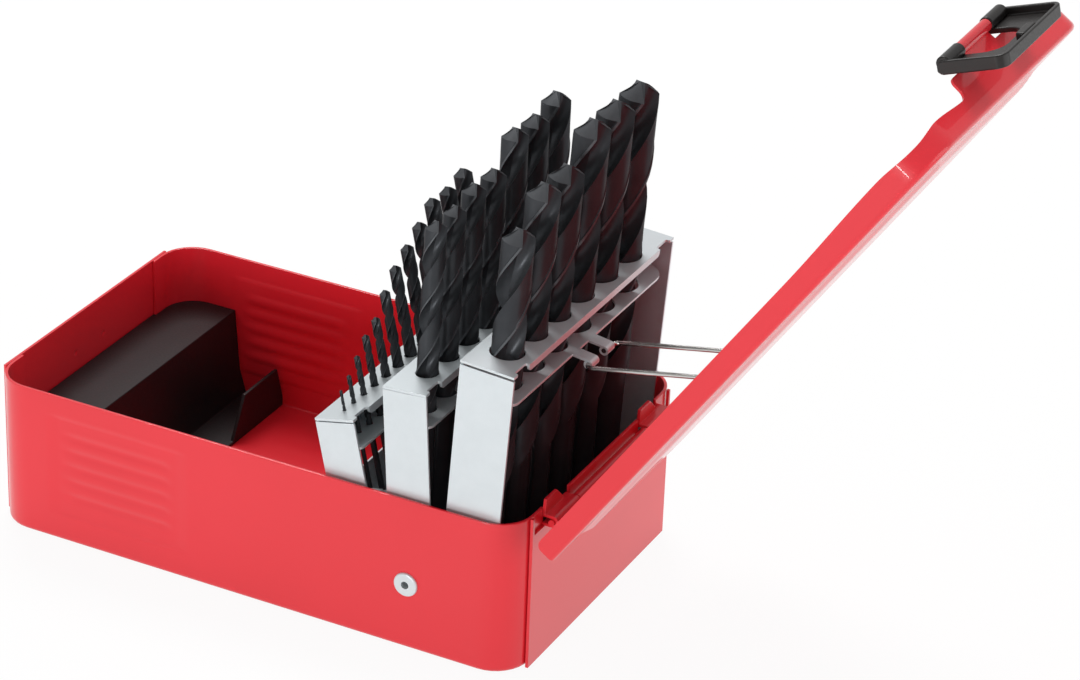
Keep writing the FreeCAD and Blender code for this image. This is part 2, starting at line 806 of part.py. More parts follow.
def make_stair(rack):
    # a strip folded into steps from leg to leg, one under each drill
    inner = rack.leg_face - rack_sheet
    toe = stair_toe_gap if rack is small_rack else rack_sheet + stair_side_gap
    left = toe - rack.width / 2
    right = rack.width / 2 - stair_side_gap
    feet = [rack.axis(place)[0].y for place in range(len(rack.drills))]
    radii = [drill_diameter(index) / 2 for index in rack.drills]
    edges = [-inner]
    for place in range(len(feet) - 1):
        # each riser stands midway between two feet
        edges.append((feet[place] + radii[place] + feet[place + 1] - radii[place + 1]) / 2)
    edges.append(inner)
    pieces = []
    for place, height in enumerate(rack.step_heights):
        pieces.append(box(left, right, edges[place], edges[place + 1], height - stair_sheet, height))
    for edge, above, below in zip(edges[1:], rack.step_heights, rack.step_heights[1:]):
        pieces.append(box(left, right, edge - stair_sheet, edge, below - stair_sheet, above))
    return fused(*pieces)


def make_clips():
    # two tongues of the large rack's shelf, curled round the wire's hooks
    bore = wire_radius + clip_running_gap
    curl = bore + clip_sheet
    edge = large_width / 2
    shelf = large_rack.shelf
    clips = []
    for leg, side in ((wire_front_leg, 1), (wire_back_leg, -1)):
        near = leg + side * (wire_radius + clip_side_gap)
        y0, y1 = sorted((near, near + side * clip_width))
        tongue = plate_xz([
            (edge - rack_sheet, shelf - rack_sheet), (edge - rack_sheet, shelf),
            (edge, shelf), (clip_reach, clip_height + curl),
            (clip_reach, clip_height + bore), (edge, shelf - rack_sheet),
        ], y0, y1)
        ring = rod(curl, clip_reach, y0, y1, clip_height)
        clips.append(tongue.fuse(ring).cut(rod(bore, clip_reach, y0 - overrun, y1 + overrun, clip_height)))
    return clips


def make_link_bar():
    # carries the two outer racks on the middle one; drawn under the rivet, before the rack's lean
    centres = [Vector(0, 0, mid_base_drop), small_pivot, large_pivot]
    discs = [rod(ear_boss_radius, c.x, -bar_outer, -leg_outer, c.z) for c in centres]
    discs[0] = rod(rivet_shoulder_radius, 0, -bar_outer, -leg_outer, mid_base_drop)
    web = plate_xz([(c.x, c.z) for c in centres], -bar_outer, -leg_outer)
    ties = []
    for first, second in ((0, 1), (1, 2), (2, 0)):
        a, b = centres[first], centres[second]
        along = b.sub(a)
        across = Vector(-along.z, 0, along.x).normalize().multiply(ear_boss_radius)
        ties.append(plate_xz([((a + across).x, (a + across).z), ((b + across).x, (b + across).z),
                              ((b - across).x, (b - across).z), ((a - across).x, (a - across).z)],
                             -bar_outer, -leg_outer))
    bar = fused(web, *(discs + ties))
    bar = bar.cut(rod(rivet_shank_radius + rivet_running_gap, 0, -bar_outer - overrun,
                      -leg_outer + overrun, mid_base_drop))
    for c in (small_pivot, large_pivot):
        bar = bar.cut(rod(side_rivet_radius, c.x, -bar_outer - overrun, -leg_outer + overrun, c.z))
    return bar


def make_side_rivets(pivot):
    # front and back rivets of one outer rack, headed inside the legs
    inner = -side_leg_outer + rack_sheet + rack_leg_gap
    shank = rod(side_rivet_radius, pivot.x, -bar_outer, inner, pivot.z)
    head = rod(side_rivet_head_radius, pivot.x, inner, inner + side_rivet_head_height, pivot.z)
    front = fused(shank, head)
    return Part.makeCompound([front, mirrored(front)])


# Wire link


def wire_ends():
    # where the wire turns in its clips, and where its cross-bar lies under the strap
    marker = Part.Vertex(Vector(clip_reach, 0, clip_height))
    clip = placed_large(marker).Vertexes[0].Point
    anchor = Vector(hinge_x - link_anchor_along, 0, hinge_height + link_anchor_depth)
    bar = opened_with_lid(Part.Vertex(anchor)).Vertexes[0].Point
    return clip, bar


def make_wire_link():
    clip, bar = wire_ends()
    route = []
    for point, y in ((clip, wire_front_leg + wire_hook_length), (clip, wire_front_leg), (bar, wire_front_leg),
                     (bar, wire_back_leg), (clip, wire_back_leg), (clip, wire_back_leg - wire_hook_length)):
        route.append(Vector(point.x, y, point.z))
    edges = []
    start = route[0]
    for before, corner, after in zip(route, route[1:], route[2:]):
        back = before.sub(corner).normalize()
        ahead = after.sub(corner).normalize()
        first = corner + back * wire_bend_radius
        last = corner + ahead * wire_bend_radius
        centre = first + ahead * wire_bend_radius
        middle = centre + (corner.sub(centre)).normalize() * wire_bend_radius
        edges.append(Part.LineSegment(start, first).toShape())
        edges.append(Part.Arc(first, middle, last).toShape())
        start = last
    edges.append(Part.LineSegment(start, route[-1]).toShape())
    path = Part.Wire(edges)
    heading = route[1].sub(route[0])
    profile = Part.Wire([Part.makeCircle(wire_radius, route[0], heading)])
    return path.makePipeShell([profile], True, False)


# Twist drills, each drawn standing on its seat at the origin


def flute_section(radius, turn, height):
    points = []
    for half_turn in (0, 180):
        for angle, share in flute_angles_and_shares:
            around = math.radians(angle + half_turn + turn)
            points.append(Vector(radius * share * math.cos(around), radius * share * math.sin(around), height))
    return points


def make_drill(drill_index):
    diameter = drill_diameter(drill_index)
    length = drill_lengths[drill_index]
    flute = flute_lengths[drill_index]
    radius = diameter / 2
    point_height = radius / math.tan(math.radians(point_half_angle))
    lead = math.pi * diameter / math.tan(math.radians(helix_angle))
    shank_end = length - flute
    fluted = flute - point_height
    steps = max(2, round(360 * fluted / lead / flute_step_angle))
    rings = []
    for index in range(steps + 1):
        share = index / steps
        rings.append(flute_section(radius, 360 * fluted * share / lead, shank_end + fluted * share))
    facets = [rings[0]]
    count = len(rings[0])
    for low, high in zip(rings, rings[1:]):
        for index in range(count):
            after = (index + 1) % count
            facets.append([low[index], low[after], high[index]])
            facets.append([low[after], high[after], high[index]])
    tip = Vector(0, 0, length)
    facets += [[rings[-1][index], rings[-1][(index + 1) % count], tip] for index in range(count)]
    faces = [Part.Face(Part.makePolygon(corners + corners[:1])) for corners in facets]
    flutes = Part.Solid(Part.Shell(faces))
    shank = Part.makeCylinder(radius, shank_end)
    foot = [edge for edge in shank.Edges if edge.BoundBox.ZMax < shank_end / 2]
    shank = shank.makeChamfer(diameter * shank_chamfer_share, foot)
    return shank.fuse(flutes)


# Build every piece

save("tray_body", make_tray_body())
save("tray_hinge_end", make_hinge_end())
save("tray_latch_end", make_latch_end())
save("latch_catch", make_latch_catch())
save("tip_guard", make_tip_guard())
save("hinge_pin", make_hinge_pin())
front_rivet = make_pivot_rivet()
save("pivot_rivet_front", front_rivet)
save("pivot_rivet_back", mirrored(front_rivet))

save("lid_shell", opened_with_lid(make_lid_shell()))
save("lid_link_strap", opened_with_lid(make_link_strap()))
save("clasp", opened_clasp(make_clasp()))
save("clasp_pin", opened_clasp(make_clasp_pin()))

main_bore = rivet_shank_radius + rivet_running_gap
side_bore = side_rivet_radius + rivet_running_gap
save("mid_rack_frame", placed_mid(make_rack_frame(mid_rack, (-mid_setoff, mid_base_drop), main_bore)))
save("small_rack_frame", placed_small(make_rack_frame(small_rack, pivot_in_small(), side_bore)))
save("large_rack_frame", placed_large(make_rack_frame(large_rack, pivot_in_large(), side_bore)))
save("mid_rack_holder", placed_mid(make_rack_holder(mid_rack)))
save("small_rack_holder", placed_small(make_rack_holder(small_rack)))
save("large_rack_holder", placed_large(fused(make_rack_holder(large_rack), *make_clips())))
front_bar = make_link_bar()
save("rack_link_front", hung_on_rivets(front_bar))
save("rack_link_back", hung_on_rivets(mirrored(front_bar)))
save("small_rack_rivets", hung_on_rivets(make_side_rivets(small_pivot)))
save("large_rack_rivets", hung_on_rivets(make_side_rivets(large_pivot)))
save("small_rack_stair", placed_small(make_stair(small_rack)))
save("mid_rack_stair", placed_mid(make_stair(mid_rack)))
save("wire_link", make_wire_link())

for rack, placed in ((small_rack, placed_small), (mid_rack, placed_mid), (large_rack, placed_large)):
    for place, index in enumerate(rack.drills):
        foot, way = rack.axis(place)
        drill = make_drill(index)
        drill.Placement = FreeCAD.Placement(foot, FreeCAD.Rotation(Vector(0, 0, 1), way))
        save(drill_name(index), placed(drill))
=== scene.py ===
import json
import math

import bmesh
import bpy
from mathutils import Euler, Matrix, Vector


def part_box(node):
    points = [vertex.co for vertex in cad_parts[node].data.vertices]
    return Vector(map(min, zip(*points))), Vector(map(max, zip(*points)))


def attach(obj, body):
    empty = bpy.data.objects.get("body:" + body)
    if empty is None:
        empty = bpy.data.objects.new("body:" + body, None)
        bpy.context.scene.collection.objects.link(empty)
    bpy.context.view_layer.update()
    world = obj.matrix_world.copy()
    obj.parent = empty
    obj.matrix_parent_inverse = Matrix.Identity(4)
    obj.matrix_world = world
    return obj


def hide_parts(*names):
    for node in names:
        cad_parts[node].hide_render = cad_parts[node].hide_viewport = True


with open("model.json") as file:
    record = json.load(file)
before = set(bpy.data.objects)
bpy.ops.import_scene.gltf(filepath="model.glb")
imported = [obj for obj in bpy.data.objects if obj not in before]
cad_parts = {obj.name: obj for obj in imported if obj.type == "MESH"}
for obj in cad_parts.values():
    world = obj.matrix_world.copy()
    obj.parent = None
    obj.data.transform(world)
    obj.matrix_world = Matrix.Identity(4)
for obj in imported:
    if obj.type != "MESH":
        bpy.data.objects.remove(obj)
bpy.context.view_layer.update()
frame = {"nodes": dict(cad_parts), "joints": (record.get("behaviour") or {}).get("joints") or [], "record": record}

nodes = frame["nodes"]


# Shader graphs

class Socket:
    def __init__(self, graph, socket):
        self.graph = graph
        self.socket = socket

    def maths(self, operation, other):
        return self.graph.node("ShaderNodeMath", {"operation": operation}, {0: self, 1: other})

    def __add__(self, other):
        return self.maths("ADD", other)

    def __mul__(self, other):
        return self.maths("MULTIPLY", other)

    __radd__ = __add__
    __rmul__ = __mul__

    def clamped(self, low, high, toLow=0.0, toHigh=1.0, way="LINEAR"):
        values = {"Value": self, "From Min": low, "From Max": high, "To Min": toLow, "To Max": toHigh}
        return self.graph.node("ShaderNodeMapRange", {"clamp": True, "interpolation_type": way}, values)

    def smoothed(self, low, high, toLow=0.0, toHigh=1.0):
        return self.clamped(low, high, toLow, toHigh, "SMOOTHSTEP")

    def part(self, name):
        return Socket(self.graph, self.socket.node.outputs[name])


class Graph:
    # the nodes of a material or of the world
    def __init__(self, owner, shader, output):
        owner.use_nodes = True
        self.owner = owner
        self.tree = owner.node_tree
        self.shader = self.tree.nodes[shader]
        self.output = self.tree.nodes[output]

    def node(self, kind, settings=None, values=None):
        made = self.tree.nodes.new(kind)
        for name, value in (settings or {}).items():
            setattr(made, name, value)
        for name, value in (values or {}).items():
            self.give(made.inputs[name], value)
        return Socket(self, made.outputs[0])

    def give(self, socket, value):
        if isinstance(value, Socket):
            self.tree.links.new(value.socket, socket)
        else:
            socket.default_value = value

    def set(self, **values):
        for name, value in values.items():
            self.give(self.shader.inputs[name.replace("_", " ")], value)

    def noise(self, scale, detail=3.0, rough=0.5):
        place = self.node("ShaderNodeTexCoord").part("Object")
        values = {"Vector": place, "Scale": scale, "Detail": detail, "Roughness": rough}
        return self.node("ShaderNodeTexNoise", None, values)

    def mix(self, share, first, second):
        values = {"Factor": share, "A": first, "B": second}
        return self.node("ShaderNodeMix", {"data_type": "RGBA"}, values).part("Result")

    def bump(self, height, strength, depth):
        values = {"Height": height, "Strength": strength, "Distance": depth}
        self.set(Normal=self.node("ShaderNodeBump", None, values))

    def cover(self, share, over):
        # by this share a second shader takes the place of the first
        under = Socket(self, self.shader.outputs[0])
        both = self.node("ShaderNodeMixShader", None, {0: share, 1: under, 2: over})
        self.give(self.output.inputs["Surface"], both)


def newFinish(name):
    return Graph(bpy.data.materials.new(name), "Principled BSDF", "Material Output")


def colour(red, green, blue):        # 0 to 255 as seen on screen
    def linear(value):
        share = value / 255
        return share / 12.92 if share <= 0.04045 else ((share + 0.055) / 1.055) ** 2.4
    return (linear(red), linear(green), linear(blue), 1.0)


def shaded(tone, share):
    return colour(*[value * share for value in tone])


def roughened(grain, roughness, spread):
    # roughness that follows the grain, from one end of the spread to the other
    return grain.clamped(0.3, 0.7, roughness + spread[0], roughness + spread[1])


# Finishes

metalGrain = 0.00002          # height of the fine grain in the metals
white = colour(255, 255, 255)


def makeRedPaint():
    look = {
        "body": colour(231, 38, 52),
        "deep": colour(224, 35, 47),
        "cloud": 14.0,
        "roughness": 0.36,
        "specular": 0.3,
        "coat": 0.66,
        "coatRoughness": 0.03,
        "coatIor": 1.45,
    }
    g = newFinish("gloss red paint")
    cloud = g.noise(look["cloud"], 2.0)
    g.set(Base_Color=g.mix(cloud.smoothed(0.2, 0.8), look["body"], look["deep"]))
    g.set(Roughness=look["roughness"], Specular_IOR_Level=look["specular"], Coat_Weight=look["coat"],
          Coat_Roughness=look["coatRoughness"], Coat_IOR=look["coatIor"])
    return g.owner


def makeZinc():
    look = {
        "dull": colour(210, 217, 220),
        "bright": colour(215, 222, 225),
        "roughness": (0.38, 0.34),         # where it is dull and where it is bright
        "metal": 0.45,
        "grain": 160.0,
        "grainRough": 0.55,
        "bump": 0.02,
    }
    g = newFinish("bright zinc plate")
    grain = g.noise(look["grain"], 3.0, look["grainRough"])
    g.set(Base_Color=g.mix(grain.smoothed(0.2, 0.8), look["dull"], look["bright"]))
    g.set(Roughness=grain.smoothed(0.2, 0.8, *look["roughness"]), Metallic=look["metal"])
    g.bump(grain, look["bump"], metalGrain)
    return g.owner


def makeWireSteel():
    look = {
        "bright": (215, 213, 210),
        "darker": 0.92,
        "roughness": 0.2,
        "spread": (-0.03, 0.05),
        "grain": 500.0,
        "bump": 0.03,
    }
    g = newFinish("bright drawn wire")
    grain = g.noise(look["grain"], 2.0)
    g.set(Base_Color=g.mix(grain, colour(*look["bright"]), shaded(look["bright"], look["darker"])))
    g.set(Roughness=roughened(grain, look["roughness"], look["spread"]), Metallic=1.0)
    g.bump(grain, look["bump"], metalGrain)
    return g.owner


def makeDrillSteel(name, dark, pale, roughness, metal, ior, edgeTint=1.0):
    look = {
        "patch": 70.0,
        "patchShare": 0.5,
        "grain": 900.0,
        "grainShare": 0.2,
        "spread": (-0.04, 0.06),
        "bump": 0.12,
    }
    g = newFinish(name)
    grain = g.noise(look["grain"])
    patch = g.noise(look["patch"], 2.0)
    share = patch.clamped(0.4, 0.75) * look["patchShare"] + grain * look["grainShare"]
    g.set(Base_Color=g.mix(share, colour(*dark), colour(*pale)))
    g.set(Roughness=roughened(grain, roughness, look["spread"]), Metallic=metal, IOR=ior)
    g.set(Specular_Tint=(edgeTint, edgeTint, edgeTint, 1.0))        # below 1 it mirrors less at a flat angle
    g.bump(grain, look["bump"], metalGrain)
    return g.owner


def makeBlackPlastic(name, tone, roughness, sheen=0.0):
    look = {
        "mottle": 30.0,
        "paler": 1.2,
        "spread": (-0.05, 0.07),
        "specular": 0.3,
        "sheenRoughness": 0.16,
        "grain": 1500.0,
        "grainDepth": 0.00004,
        "bump": 0.25,
    }
    g = newFinish(name)
    grain = g.noise(look["grain"], 2.0)
    g.set(Base_Color=g.mix(g.noise(look["mottle"]), colour(*tone), shaded(tone, look["paler"])))
    g.set(Roughness=roughened(grain, roughness, look["spread"]))
    g.set(Specular_IOR_Level=look["specular"], Coat_Weight=sheen, Coat_Roughness=look["sheenRoughness"])
    g.bump(grain, look["bump"], look["grainDepth"])
    return g.owner


redPaint = makeRedPaint()
zinc = makeZinc()
wireSteel = makeWireSteel()
drillBlack = makeDrillSteel("steam-blackened drill steel", dark=(59, 61, 64), pale=(77, 79, 82),
                            roughness=0.32, metal=0.4, ior=1.12, edgeTint=0.3)
# the margins are painted lighter than the body: a painted highlight, the glint of light along the land edges
drillMarginHighlight = makeDrillSteel("drill margins, painted highlight", dark=(84, 87, 90), pale=(104, 107, 110),
                             roughness=0.3, metal=0.45, ior=1.2, edgeTint=0.5)
drillPoint = makeDrillSteel("ground drill points", dark=(68, 70, 73), pale=(86, 88, 91),
                            roughness=0.38, metal=0.2, ior=1.2)
guardPlastic = makeBlackPlastic("black guard moulding", tone=(29, 24, 25), roughness=0.42)
claspPlastic = makeBlackPlastic("black clasp moulding", tone=(29, 26, 25), roughness=0.36, sheen=0.15)
print("finishes made")


def finishOf(node):
    if node == "tip_guard":
        return guardPlastic
    if node == "wire_link":
        return wireSteel
    if "rack" in node or "rivet" in node:
        return zinc
    return redPaint


# What the pieces share

bodyNames = {node: body for body, kept in frame["record"]["behaviour"]["bodies"].items() for node in kept}
alongY = Matrix.Rotation(math.radians(90), 4, "X")        # lays an upright bar down


def jointNamed(name):
    return next(row for row in frame["joints"] if row["name"] == name)


def vertsOf(parts):
    return [part for part in parts if isinstance(part, bmesh.types.BMVert)]


def edgesOf(parts):
    return [part for part in parts if isinstance(part, bmesh.types.BMEdge)]


def facesOf(parts):
    return [part for part in parts if isinstance(part, bmesh.types.BMFace)]


def cutAt(bm, place, way):
    bmesh.ops.bisect_plane(bm, geom=bm.verts[:] + bm.edges[:] + bm.faces[:], plane_co=place, plane_no=way)


def drawnRim(bm, edges, core, out, heightOf):
    # the rim drawn on to a new line, which lies at one distance from a flat core
    fromX, toX, fromY, toY = core
    drawn = bmesh.ops.extrude_edge_only(bm, edges=edges)["geom"]
    for vertex in vertsOf(drawn):
        x, y = vertex.co.x, vertex.co.y
        nearest = Vector((max(fromX, min(toX, x)), max(fromY, min(toY, y)), 0))
        vertex.co = nearest + (Vector((x, y, 0)) - nearest).normalized() * out
        vertex.co.z = heightOf(vertex.co.x, vertex.co.y)
    return [edge for edge in edgesOf(drawn) if edge.is_boundary and all(end in drawn for end in edge.verts)]


def eased(value):
    value = max(0.0, min(1.0, value))
    return value * value * (3 - 2 * value)


def addPiece(name, bm, node, finishes, sharpAngle=35.0):
    # a finished piece that stands for one CAD node and moves with its body
    mesh = bpy.data.meshes.new(name)
    bm.to_mesh(mesh)
    bm.free()
    for finish in finishes:
        mesh.materials.append(finish)
    mesh.polygons.foreach_set("use_smooth", [True] * len(mesh.polygons))
    mesh.set_sharp_from_angle(angle=math.radians(sharpAngle))
    piece = bpy.data.objects.new(name, mesh)
    bpy.context.collection.objects.link(piece)
    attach(piece, bodyNames[node])
    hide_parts(node)
    return piece


def evened(piece):
    # flat faces stay flat to the light, whatever small bends run into them
    weighted = piece.modifiers.new("evened shading", "WEIGHTED_NORMAL")
    weighted.keep_sharp = True


def rounded(piece, width, segments, fromAngle):
    # takes off the edges whose faces meet at more than the angle
    edging = piece.modifiers.new("rounded edges", "BEVEL")
    edging.width = width
    edging.segments = segments
    edging.limit_method = "ANGLE"
    edging.angle_limit = math.radians(fromAngle)
    evened(piece)


# Drills

drillLook = {
    "smallest": 0.001,
    "step": 0.0005,
    "helixAngle": 30.0,
    "lipTurn": -61.8,           # degrees from +X to the line of the cutting lips
    "pointRise": 0.7,           # from the corners of the lips to the chisel edge, in radii
    "stepsPerTurn": 28,
    "leastSteps": 12,
    "runOut": 1.5,              # length over which the flutes fade, in diameters
    "footChamfer": 0.08,        # in diameters
    "highlightReach": 0.985,              # margins lie beyond this share of the radius; their faces get the lighter finish, a painted highlight
    "sharpAngle": 32.0,
    # share of the length that is fluted: its start, the share there, and what each further metre adds
    "shortFlutes": (0.034, 0.35, 6.5),
    "longFlutes": (0.08, 0.61, 0.85),
}

# half of the point's rim in radii: across, along and how far below the chisel edge
halfRim = [
    (0.15, 0.20, 0.00), (0.40, 0.20, 0.19), (0.70, 0.20, 0.42), (0.98, 0.20, 0.70),        # cutting lip
    (0.998, 0.06, 0.70), (0.95, 0.017, 0.68), (0.918, -0.246, 0.66), (0.806, -0.503, 0.65),
    (0.623, -0.717, 0.64), (0.386, -0.868, 0.63), (0.108, -0.944, 0.62),                   # land
    (0.17, -0.80, 0.50), (0.20, -0.60, 0.34), (0.15, -0.42, 0.20), (0.02, -0.28, 0.09),    # flute
]
chiselReach = 0.000001          # a face that comes this close to the middle of the chisel edge is the point's


def fluteShare(length):
    # a third of the shortest drill, rising to two thirds of the longest
    isLong = length >= drillLook["longFlutes"][0]
    start, share, growth = drillLook["longFlutes" if isLong else "shortFlutes"]
    return share + (length - start) * growth


def makeDrill(node, index):
    look = drillLook
    way = -Vector(jointNamed(node + "_lift")["axis"]).normalized()
    solid = nodes[node].data.vertices
    heights = [way.dot(vertex.co) for vertex in solid]
    tip = solid[heights.index(max(heights))].co.copy()
    length = max(heights) - min(heights)
    radius = (look["smallest"] + index * look["step"]) / 2
    fluteLength = length * fluteShare(length)
    rise = look["pointRise"] * radius
    lead = 2 * math.pi * radius / math.tan(math.radians(look["helixAngle"]))
    # the point: two ground flanks that meet in the chisel edge
    bm = bmesh.new()
    ring = []
    for side in (1, -1):
        for across, along, drop in halfRim:
            ring.append(bm.verts.new((side * across * radius, side * along * radius, -drop * radius)))
    lipTurn = Matrix.Rotation(math.radians(look["lipTurn"]), 3, "Z")
    bmesh.ops.rotate(bm, verts=ring, cent=(0, 0, 0), matrix=lipTurn)
    half = len(halfRim)
    edges = [bm.edges.new((ring[i - 1], ring[i])) for i in range(len(ring))]
    flanks = [bm.faces.new(ring[:half + 1]), bm.faces.new(ring[half:] + ring[:1])]
    poked = bmesh.ops.poke(bm, faces=flanks)
    for vertex in poked["verts"]:
        vertex.co = (0, 0, 0)
    bmesh.ops.remove_doubles(bm, verts=poked["verts"], dist=chiselReach)
    # the flutes: the rim screwed down the drill
    steps = max(look["leastSteps"], round(look["stepsPerTurn"] * (fluteLength - rise) / lead))
    down = (fluteLength - rise) / steps
    swept = bmesh.ops.spin(bm, geom=edges, cent=(0, 0, 0), axis=(0, 0, 1), dvec=(0, 0, -down),
                           angle=-2 * math.pi * down * steps / lead, steps=steps)["geom_last"]
    fadeEnd = -fluteLength
    fadeStart = fadeEnd + 2 * radius * look["runOut"]
    for vertex in bm.verts:
        if vertex.co.z < fadeStart:
            fade = min(1.0, (fadeStart - vertex.co.z) / (fadeStart - fadeEnd))
            here = math.hypot(vertex.co.x, vertex.co.y)
            grow = (here + (radius - here) * fade * fade) / here
            vertex.co.x *= grow
            vertex.co.y *= grow
    # the shank and its chamfered foot
    lastEdges = edgesOf(swept)
    for vertex in vertsOf(swept):
        vertex.co.z = fadeEnd
    chamfer = 2 * radius * look["footChamfer"]
    for z, share in ((-length + chamfer, 1.0), (-length, 1 - 2 * look["footChamfer"])):
        drawn = bmesh.ops.extrude_edge_only(bm, edges=lastEdges)["geom"]
        lastEdges = [edge for edge in edgesOf(drawn) if edge.is_boundary]
        for vertex in {end for edge in lastEdges for end in edge.verts}:
            here = math.hypot(vertex.co.x, vertex.co.y)
            vertex.co = Vector((vertex.co.x * radius * share / here, vertex.co.y * radius * share / here, z))
    bmesh.ops.edgeloop_fill(bm, edges=lastEdges)
    bmesh.ops.recalc_face_normals(bm, faces=bm.faces)
    # faces on the margins take the painted highlight finish, and faces at the point take the ground finish
    for face in bm.faces:
        middle = face.calc_center_median()
        isHighlitMargin = math.hypot(middle.x, middle.y) > look["highlightReach"] * radius
        if any(vertex.co.length < chiselReach for vertex in face.verts):
            face.material_index = 2
        elif isHighlitMargin and middle.z > fadeStart:
            face.material_index = 1
    place = Matrix.Translation(tip) @ Vector((0, 0, 1)).rotation_difference(way).to_matrix().to_4x4()
    bmesh.ops.transform(bm, matrix=place, verts=bm.verts)
    addPiece(node + "_steel", bm, node, [drillBlack, drillMarginHighlight, drillPoint], look["sharpAngle"])


drillNodes = sorted(name for name in nodes if name.startswith("drill_"))
for index, node in enumerate(drillNodes):
    makeDrill(node, index)
print("drills fluted:", len(drillNodes))


# Tray body: one sheet drawn up from the floor, with a soft pressed panel in each long wall

trayLook = {
    "sheet": 0.001,
    "corner": 0.012,
    "cornerSteps": 8,
    "bend": 0.0016,
    "bendSteps": 4,
    "columns": 82,
    "rows": 70,
    "wrap": 0.0177,                                # reach of the flanges round the corners
    "grip": (-0.071, -0.0237, 0.010, 0.045),       # x from, x to, z from, z to
    "gripDepth": 0.0004,
    "gripSoft": 0.0012,
    "grooves": 5,
    "groovePitch": 0.0054,
    "grooveWidth": 0.0046,
    "grooveDepth": 0.00055,
    "grooveMargin": 0.006,
    "rivet": (0.0571, 0.023, 0.0027),              # x, z and radius of the hole
    "rimBevel": 0.00025,
    "rimAngle": 60.0,
    "sharpAngle": 40.0,
}


def pressed(x, z):
    # how far the wall is pushed in at a place
    look = trayLook
    x0, x1, z0, z1 = look["grip"]
    panel = eased(min(x - x0, x1 - x, z - z0, z1 - z) / look["gripSoft"] + 0.5)
    depth = look["gripDepth"] * panel
    middle = (z0 + z1) / 2
    ends = min(x - x0, x1 - x) - look["grooveMargin"]
    for index in range(look["grooves"]):
        height = middle + (index - (look["grooves"] - 1) / 2) * look["groovePitch"]
        away = math.hypot(z - height, min(0.0, ends)) / (look["grooveWidth"] / 2)
        if away < 1:
            depth += look["grooveDepth"] * (0.5 + 0.5 * math.cos(math.pi * away))
    return depth


def makeTrayBody():
    look = trayLook
    bend, corner = look["bend"], look["corner"]
    low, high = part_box("tray_body")
    halfX, halfY, top = high.x, high.y, high.z
    bm = bmesh.new()
    bmesh.ops.create_grid(bm, x_segments=1, y_segments=1, size=1.0)
    bmesh.ops.scale(bm, vec=(halfX - bend, halfY - bend, 1), verts=bm.verts)
    bmesh.ops.bevel(bm, geom=bm.verts[:], offset=corner - bend, offset_type="OFFSET",
                    segments=look["cornerSteps"], profile=0.5, affect="VERTICES", material=-1)
    longEdges = [edge for edge in bm.edges if abs(edge.verts[0].co.x - edge.verts[1].co.x) > halfX]
    bmesh.ops.subdivide_edges(bm, edges=longEdges, cuts=look["columns"] - 1)
    rim = [edge for edge in bm.edges if edge.is_boundary]
    core = (corner - halfX, halfX - corner, corner - halfY, halfY - corner)
    for step in range(1, look["bendSteps"] + 1):
        angle = math.radians(90 * step / look["bendSteps"])
        height = bend - bend * math.cos(angle)
        rim = drawnRim(bm, rim, core, corner - bend + bend * math.sin(angle), lambda x, y: height)
    for row in range(1, look["rows"] + 1):
        height = bend + (top - bend) * row / look["rows"]
        rim = drawnRim(bm, rim, core, corner, lambda x, y: height)
    # the ends are open between the flanges that wrap round the corners
    edge = halfY - look["wrap"]
    for side in (-1, 1):
        cutAt(bm, (0, side * edge, 0), (0, 1, 0))
    skin = bend / 4          # the upright faces lie this near to the outside
    holeX, holeZ, holeRadius = look["rivet"]
    gone = []
    for face in bm.faces:
        middle = face.calc_center_median()
        inEnd = abs(middle.x) > halfX - skin and abs(middle.y) < edge and middle.z > bend
        inHole = abs(middle.y) > halfY - bend and math.hypot(middle.x - holeX, middle.z - holeZ) < holeRadius
        if inEnd or inHole:
            gone.append(face)
    bmesh.ops.delete(bm, geom=gone, context="FACES")
    for vertex in bm.verts:
        if abs(vertex.co.y) > halfY - skin and vertex.co.z > bend:
            vertex.co.y -= math.copysign(pressed(vertex.co.x, vertex.co.z), vertex.co.y)
    bmesh.ops.recalc_face_normals(bm, faces=bm.faces)
    bmesh.ops.solidify(bm, geom=bm.faces[:], thickness=look["sheet"])
    lips = [edge for edge in bm.edges if edge.calc_face_angle(0) > math.radians(look["rimAngle"])
            and all(vertex.co.z > bend for vertex in edge.verts)]
    bmesh.ops.bevel(bm, geom=lips, offset=look["rimBevel"], offset_type="OFFSET", segments=2, profile=0.5,
                    affect="EDGES", material=-1)
    evened(addPiece("tray_body_sheet", bm, "tray_body", [redPaint], look["sharpAngle"]))


makeTrayBody()
print("tray body drawn")


# Clasp: a moulded loop, hollow towards the case, with a finger window and a small hook

claspLook = {
    "halfWidth": 0.0224,
    "length": 0.0188,
    "head": (0.0018, 0.0014, 0.0008, 0.0),         # heights of its sections above the pin
    "headRound": 0.002,
    "wall": 0.0014,
    "corner": 0.0034,
    "back": (-0.003, -0.0013),         # at the pin and at the free end, towards the case
    "floor": (-0.0013, 0.0002),
    "rim": (0.0011, 0.0026),
    "windowHalfWidth": 0.0103,
    "windowLength": 0.0122,
    "windowCorner": 0.0062,
    "turnSteps": 10,
    "beamRadius": 0.0022,
    "beamSides": 32,
    "hook": (0.0045, 0.0026),          # half width and length
    "pin": (0.001, 0.0216),            # radius and half length
    "pinSides": 24,
    "edge": 0.0004,
    "edgeSteps": 3,
    "edgeAngle": 40.0,
}


